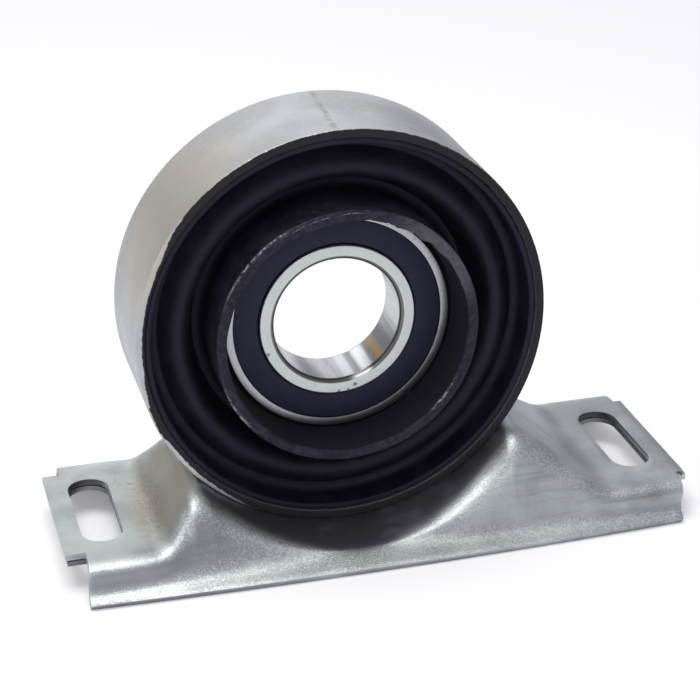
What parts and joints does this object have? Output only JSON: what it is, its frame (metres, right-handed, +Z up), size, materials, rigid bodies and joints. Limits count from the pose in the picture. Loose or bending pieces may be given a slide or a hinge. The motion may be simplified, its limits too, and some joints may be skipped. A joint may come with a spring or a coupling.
{
  "type": "driveshaft centre bearing",
  "caption": "Sealed ball bearing held by a waved rubber diaphragm in a steel band, seated in the saddle of a pressed channel bracket with slotted ears.",
  "frame": {"origin": "centre of the bracket's footprint, on the plane of its two lips", "axes": "+X along the bracket, +Z up from the lips to the ring, the shaft axis along Y with the collar side facing -Y"},
  "size_m": [0.1496, 0.063, 0.1002],
  "materials": {
    "bracket_steel": "pressed sheet, satin with a fine grain",
    "doubler_steel": "plain sheet",
    "band_steel": "rolled, dull and lightly stained",
    "rubber": "moulded, semi-matte",
    "sleeve_steel": "plain, bonded in rubber",
    "race_steel": "ground",
    "inner_race_steel": "ground, bore honed",
    "ball_steel": "polished hardened steel",
    "cage_steel": "pressed sheet",
    "seal_rubber": "blue-grey, matte",
    "insert_steel": "plain sheet"
  },
  "bodies": {
    "mount": {"support_bracket": "bracket_steel", "ear_doubler_left": "doubler_steel", "ear_doubler_right": "doubler_steel", "housing_band": "band_steel", "rubber_lining": "rubber", "rubber_web": "rubber", "rubber_collar": "rubber", "inner_sleeve": "sleeve_steel", "outer_race": "race_steel", "front_seal": "seal_rubber", "front_seal_insert": "insert_steel", "rear_seal": "seal_rubber", "rear_seal_insert": "insert_steel"},
    "shaft_ring": {"inner_race": "inner_race_steel"},
    "cage": {"cage_front": "cage_steel", "cage_rear": "cage_steel"},
    "ball_01": {"ball_01": "ball_steel"},
    "ball_02": {"ball_02": "ball_steel"},
    "ball_03": {"ball_03": "ball_steel"},
    "ball_04": {"ball_04": "ball_steel"},
    "ball_05": {"ball_05": "ball_steel"},
    "ball_06": {"ball_06": "ball_steel"},
    "ball_07": {"ball_07": "ball_steel"},
    "ball_08": {"ball_08": "ball_steel"},
    "ball_09": {"ball_09": "ball_steel"},
    "ball_10": {"ball_10": "ball_steel"},
    "ball_11": {"ball_11": "ball_steel"}
  },
  "joints": [
    {"name": "shaft_spin", "type": "hinge", "parent": "mount", "child": "shaft_ring", "pos_m": [-0.0069, 0.002, 0.0521], "axis": [0, 1, 0], "continuous": true},
    {"name": "cage_spin", "type": "hinge", "parent": "mount", "child": "cage", "pos_m": [-0.0069, 0.002, 0.0521], "axis": [0, 1, 0], "continuous": true},
    {"name": "ball_01_spin", "type": "hinge", "parent": "cage", "child": "ball_01", "pos_m": [0.01435, 0.002, 0.0521], "axis": [0, 1, 0], "continuous": true},
    {"name": "ball_02_spin", "type": "hinge", "parent": "cage", "child": "ball_02", "pos_m": [0.01098, 0.002, 0.04061], "axis": [0, 1, 0], "continuous": true},
    {"name": "ball_03_spin", "type": "hinge", "parent": "cage", "child": "ball_03", "pos_m": [0.00193, 0.002, 0.03277], "axis": [0, 1, 0], "continuous": true},
    {"name": "ball_04_spin", "type": "hinge", "parent": "cage", "child": "ball_04", "pos_m": [-0.00992, 0.002, 0.03107], "axis": [0, 1, 0], "continuous": true},
    {"name": "ball_05_spin", "type": "hinge", "parent": "cage", "child": "ball_05", "pos_m": [-0.02082, 0.002, 0.03604], "axis": [0, 1, 0], "continuous": true},
    {"name": "ball_06_spin", "type": "hinge", "parent": "cage", "child": "ball_06", "pos_m": [-0.02729, 0.002, 0.04611], "axis": [0, 1, 0], "continuous": true},
    {"name": "ball_07_spin", "type": "hinge", "parent": "cage", "child": "ball_07", "pos_m": [-0.02729, 0.002, 0.05809], "axis": [0, 1, 0], "continuous": true},
    {"name": "ball_08_spin", "type": "hinge", "parent": "cage", "child": "ball_08", "pos_m": [-0.02082, 0.002, 0.06816], "axis": [0, 1, 0], "continuous": true},
    {"name": "ball_09_spin", "type": "hinge", "parent": "cage", "child": "ball_09", "pos_m": [-0.00992, 0.002, 0.07313], "axis": [0, 1, 0], "continuous": true},
    {"name": "ball_10_spin", "type": "hinge", "parent": "cage", "child": "ball_10", "pos_m": [0.00193, 0.002, 0.07143], "axis": [0, 1, 0], "continuous": true},
    {"name": "ball_11_spin", "type": "hinge", "parent": "cage", "child": "ball_11", "pos_m": [0.01098, 0.002, 0.06359], "axis": [0, 1, 0], "continuous": true}
  ],
  "couplings": [
    {"joint": "cage_spin", "follows": "shaft_spin", "ratio": 0.41595},
    {"joint": "ball_01_spin", "follows": "shaft_spin", "ratio": -2.8905},
    {"joint": "ball_02_spin", "follows": "shaft_spin", "ratio": -2.8905},
    {"joint": "ball_03_spin", "follows": "shaft_spin", "ratio": -2.8905},
    {"joint": "ball_04_spin", "follows": "shaft_spin", "ratio": -2.8905},
    {"joint": "ball_05_spin", "follows": "shaft_spin", "ratio": -2.8905},
    {"joint": "ball_06_spin", "follows": "shaft_spin", "ratio": -2.8905},
    {"joint": "ball_07_spin", "follows": "shaft_spin", "ratio": -2.8905},
    {"joint": "ball_08_spin", "follows": "shaft_spin", "ratio": -2.8905},
    {"joint": "ball_09_spin", "follows": "shaft_spin", "ratio": -2.8905},
    {"joint": "ball_10_spin", "follows": "shaft_spin", "ratio": -2.8905},
    {"joint": "ball_11_spin", "follows": "shaft_spin", "ratio": -2.8905}
  ]
}
